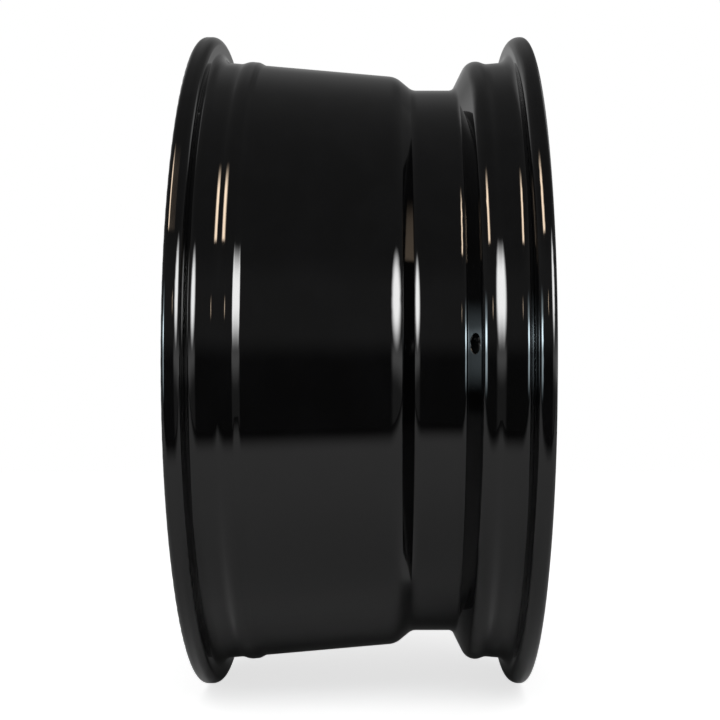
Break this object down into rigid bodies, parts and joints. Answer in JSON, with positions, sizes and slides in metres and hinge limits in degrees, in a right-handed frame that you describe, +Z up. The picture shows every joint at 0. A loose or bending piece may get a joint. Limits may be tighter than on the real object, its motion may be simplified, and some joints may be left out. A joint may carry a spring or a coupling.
{
  "type": "car wheel rim",
  "caption": "One-piece cast car wheel with a J-flange rim, safety humps, a drop centre with a valve hole, straight spokes and a bolt-on hub, painted gloss black.",
  "frame": {"origin": "middle of the rim's width on the axle", "axes": "+Y along the axle towards the car (inboard), so the outboard face looks along -Y; the valve hole is on the -X side; +Z up"},
  "size_m": [0.4712, 0.2276, 0.4712],
  "materials": {
    "wheel": "gloss"
  },
  "bodies": {
    "root": {"wheel": "wheel"}
  },
  "joints": []
}
